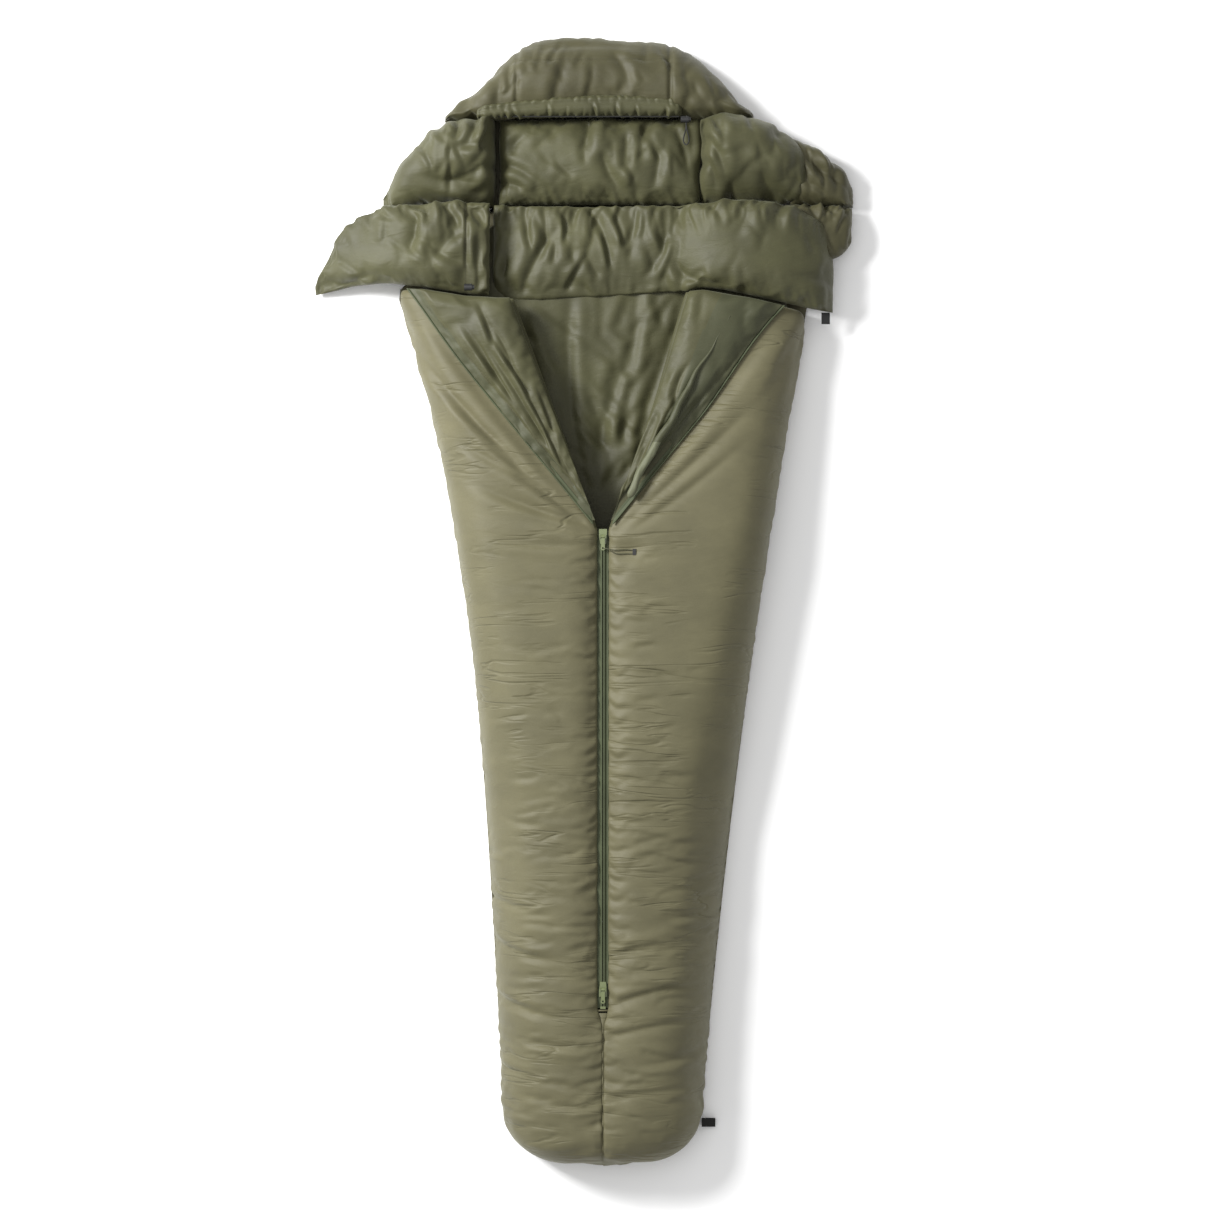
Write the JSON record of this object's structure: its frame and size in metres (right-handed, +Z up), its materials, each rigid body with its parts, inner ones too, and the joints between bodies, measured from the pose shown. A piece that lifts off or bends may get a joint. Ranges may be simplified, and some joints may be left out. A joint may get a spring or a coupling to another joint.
{
  "type": "mummy sleeping bag",
  "caption": "Padded mummy-shaped bivy sack lying open at the chest, with a two-way front zip, turned-back neck flaps, neck wings and a drawcord hood.",
  "frame": {"origin": "on the underside that lies on the ground, below the zip, where the zip's line crosses the middle of the sack's length", "axes": "+X to the right seen from above with the hood away from the viewer, +Y along the zip from foot to hood, +Z up from the ground"},
  "size_m": [1.032, 2.1469, 0.1581],
  "materials": {
    "shell_fabric": "calendered olive ripstop-weight nylon",
    "lining_fabric": "soft olive-green nylon taffeta",
    "insulation": "continuous-filament polyester wadding",
    "zip_tape": "woven green polyester tape",
    "zip_coil": "moulded nylon coil",
    "slider_metal": "satin green enamel",
    "webbing": "flat woven black webbing",
    "black_cord": "braided black cord",
    "lock_plastic": "fine matt moulded",
    "spring_steel": "bright spring wire"
  },
  "bodies": {
    "bag": {"back_shell": "shell_fabric", "back_fill": "insulation", "back_lining": "lining_fabric", "front_left_shell": "shell_fabric", "front_left_fill": "insulation", "front_left_lining": "lining_fabric", "front_right_shell": "shell_fabric", "front_right_fill": "insulation", "front_right_lining": "lining_fabric", "foot_box_left": "shell_fabric", "foot_box_right": "shell_fabric", "zip_draft_flap": "lining_fabric", "zip_tape_left": "zip_tape", "zip_tape_right": "zip_tape", "zip_coil_left": "zip_coil", "zip_coil_right": "zip_coil", "zip_bottom_stop": "slider_metal", "zip_garage": "shell_fabric", "neck_baffle": "lining_fabric", "hang_loop": "webbing"},
    "upper_slider_body": {"upper_slider": "slider_metal"},
    "upper_pull_body": {"upper_pull_tab": "slider_metal", "upper_pull_cord": "zip_tape", "upper_cord_end": "lock_plastic"},
    "lower_slider_body": {"lower_slider": "slider_metal"},
    "lower_pull_body": {"lower_pull_tab": "slider_metal"},
    "left_flap_body": {"flap_left_shell": "shell_fabric", "flap_left_fill": "insulation", "flap_left_lining": "lining_fabric", "flap_left_tape": "zip_tape", "flap_left_coil": "zip_coil"},
    "right_flap_body": {"flap_right_shell": "shell_fabric", "flap_right_fill": "insulation", "flap_right_lining": "lining_fabric", "flap_right_tape": "zip_tape", "flap_right_coil": "zip_coil", "draft_tube": "lining_fabric"},
    "left_wing_body": {"wing_left_pad": "lining_fabric"},
    "neck_lock_body": {"neck_lock_barrel": "lock_plastic"},
    "neck_button_body": {"neck_lock_plunger": "lock_plastic", "neck_lock_spring": "spring_steel"},
    "right_wing_body": {"wing_right_pad": "lining_fabric", "neck_tab": "webbing"},
    "hood_body": {"hood_back_shell": "shell_fabric", "hood_back_fill": "insulation", "hood_back_lining": "lining_fabric", "hood_side_left": "lining_fabric", "hood_side_right": "lining_fabric", "brim_centre": "shell_fabric", "brim_left": "shell_fabric", "brim_right": "shell_fabric", "drawcord_channel": "zip_tape", "hood_drawcord": "black_cord"},
    "hood_lock_body": {"hood_lock_barrel": "lock_plastic", "hood_cord_loop": "black_cord"},
    "hood_button_body": {"hood_lock_plunger": "lock_plastic", "hood_lock_spring": "spring_steel"}
  },
  "joints": [
    {"name": "upper_slider_slide", "type": "slide", "parent": "bag", "child": "upper_slider_body", "axis": [0, -1, 0], "range_m": [0, 0.38]},
    {"name": "upper_pull_hinge", "type": "hinge", "parent": "upper_slider_body", "child": "upper_pull_body", "pos_m": [0, 0.124, 0.131], "axis": [-1, 0, 0], "range_deg": [0, 120]},
    {"name": "lower_slider_slide", "type": "slide", "parent": "bag", "child": "lower_slider_body", "axis": [0, 1, 0], "range_m": [0, 0.36]},
    {"name": "lower_pull_hinge", "type": "hinge", "parent": "lower_slider_body", "child": "lower_pull_body", "pos_m": [0, -0.727, 0.131], "axis": [-1, 0, 0], "range_deg": [0, 150]},
    {"name": "left_flap_fold", "type": "hinge", "parent": "bag", "child": "left_flap_body", "pos_m": [-0.012, 0.138, 0.1354], "axis": [-0.3513, 0.9342, -0.0626], "range_deg": [0, 178]},
    {"name": "right_flap_fold", "type": "hinge", "parent": "bag", "child": "right_flap_body", "pos_m": [0.012, 0.138, 0.1354], "axis": [-0.3513, -0.9342, 0.0626], "range_deg": [0, 178]},
    {"name": "left_wing_fold", "type": "hinge", "parent": "bag", "child": "left_wing_body", "pos_m": [-0.2135, 0.6, 0.125], "axis": [0, 1, 0], "range_deg": [0, 95]},
    {"name": "neck_lock_slide", "type": "slide", "parent": "left_wing_body", "child": "neck_lock_body", "axis": [0, 1, 0], "range_m": [0, 0.03]},
    {"name": "neck_button_press", "type": "slide", "parent": "neck_lock_body", "child": "neck_button_body", "axis": [-1, 0, 0], "range_m": [0, 0.003], "stiffness_N_per_m": 400, "springref_m": -0.002, "deforming": ["neck_lock_spring"]},
    {"name": "right_wing_fold", "type": "hinge", "parent": "bag", "child": "right_wing_body", "pos_m": [0.1875, 0.6, 0.125], "axis": [0, -1, 0], "range_deg": [0, 95]},
    {"name": "hood_lift", "type": "hinge", "parent": "bag", "child": "hood_body", "pos_m": [0, 0.7555, 0.0435], "axis": [1, 0, 0], "range_deg": [0, 45]},
    {"name": "hood_lock_slide", "type": "slide", "parent": "hood_body", "child": "hood_lock_body", "axis": [0, -1, 0], "range_m": [0, 0.03]},
    {"name": "hood_button_press", "type": "slide", "parent": "hood_lock_body", "child": "hood_button_body", "axis": [-1, 0, 0], "range_m": [0, 0.003], "stiffness_N_per_m": 400, "springref_m": -0.002, "deforming": ["hood_lock_spring"]}
  ]
}
